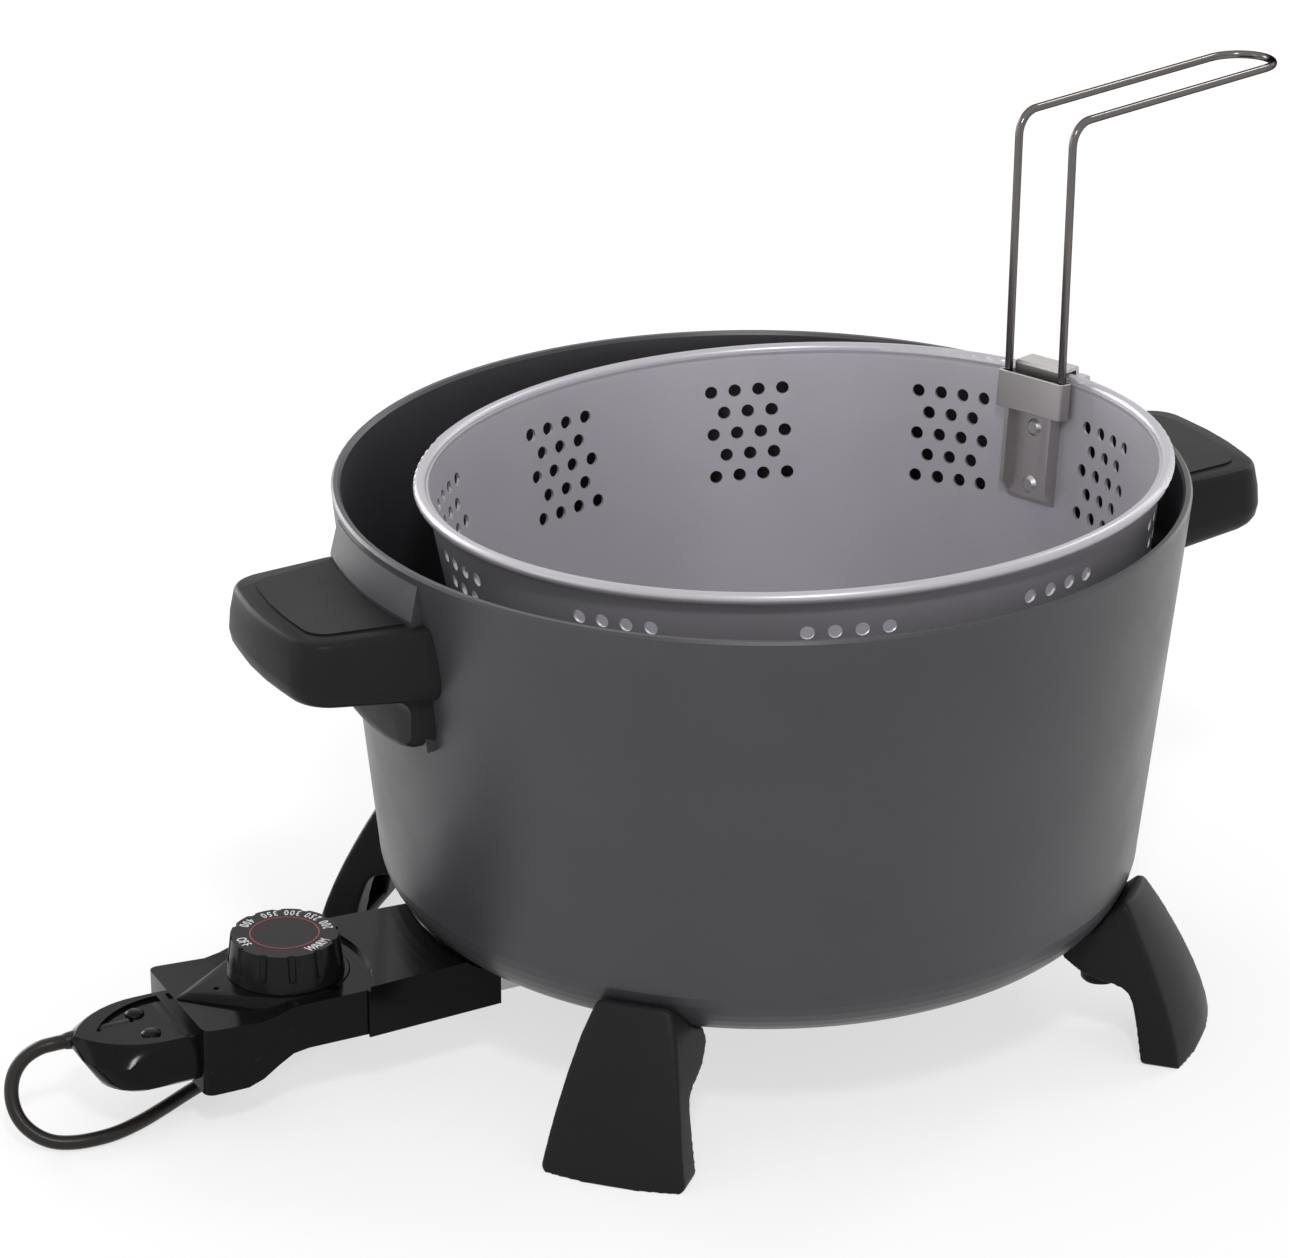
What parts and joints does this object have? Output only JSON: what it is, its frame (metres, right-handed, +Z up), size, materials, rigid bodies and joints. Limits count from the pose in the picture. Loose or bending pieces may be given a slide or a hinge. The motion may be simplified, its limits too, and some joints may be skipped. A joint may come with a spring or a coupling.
{
  "type": "deep fryer",
  "caption": "Electric deep fryer with a tapered pot, side handles, a hung fry basket with a wire handle and a plug-in heat control on its cord.",
  "frame": {"origin": "on the floor, under the pot's axis", "axes": "+Z up; +X along the line of the two side handles, away from the heat control, which plugs in from -X"},
  "size_m": [0.4733, 0.264, 0.2614],
  "materials": {
    "pot_coating": "satin dark coating on cast aluminium",
    "moulding": "satin",
    "gloss_housing": "gloss",
    "basket_sheet": "satin",
    "steel": "brushed",
    "chrome_wire": "polished",
    "brass_contact": "plain",
    "cord_jacket": "matte"
  },
  "bodies": {
    "pot_body": {"pot": "pot_coating", "heating_element": "steel", "probe_socket": "pot_coating", "terminal_guard": "steel", "terminal_pins": "steel", "foot_1": "moulding", "foot_2": "moulding", "foot_3": "moulding", "foot_4": "moulding", "foot_screws": "steel", "handle_left": "moulding", "handle_right": "moulding", "handle_screws": "steel"},
    "basket_body": {"basket": "basket_sheet", "basket_bracket": "steel", "handle_socket": "steel", "bracket_rivets": "steel"},
    "wire_handle_body": {"wire_handle": "chrome_wire"},
    "control_body": {"control_upper": "gloss_housing", "control_lower": "gloss_housing", "probe_shroud": "gloss_housing", "cord_cover": "gloss_housing", "cover_rivets": "gloss_housing", "thermostat_frame": "steel", "probe": "steel", "female_terminals": "brass_contact", "housing_screws": "steel", "strain_relief": "cord_jacket", "cord": "cord_jacket", "cord_coil": "cord_jacket", "coil_tie": "cord_jacket", "plug_body": "cord_jacket", "plug_blades": "brass_contact"},
    "knob_body": {"knob": "gloss_housing", "knob_shaft": "steel"}
  },
  "joints": [
    {"name": "basket_lift", "type": "slide", "parent": "pot_body", "child": "basket_body", "axis": [0, 0, 1], "range_m": [0, 0.13]},
    {"name": "wire_handle_pull", "type": "slide", "parent": "basket_body", "child": "wire_handle_body", "axis": [0.0568, 0.0727, 0.9957], "range_m": [0, 0.03]},
    {"name": "control_unplug", "type": "slide", "parent": "pot_body", "child": "control_body", "axis": [-1, 0, 0], "range_m": [0, 0.06]},
    {"name": "knob_turn", "type": "hinge", "parent": "control_body", "child": "knob_body", "pos_m": [-0.162, 0, 0.045], "axis": [0, 0, -1], "range_deg": [0, 305]}
  ]
}
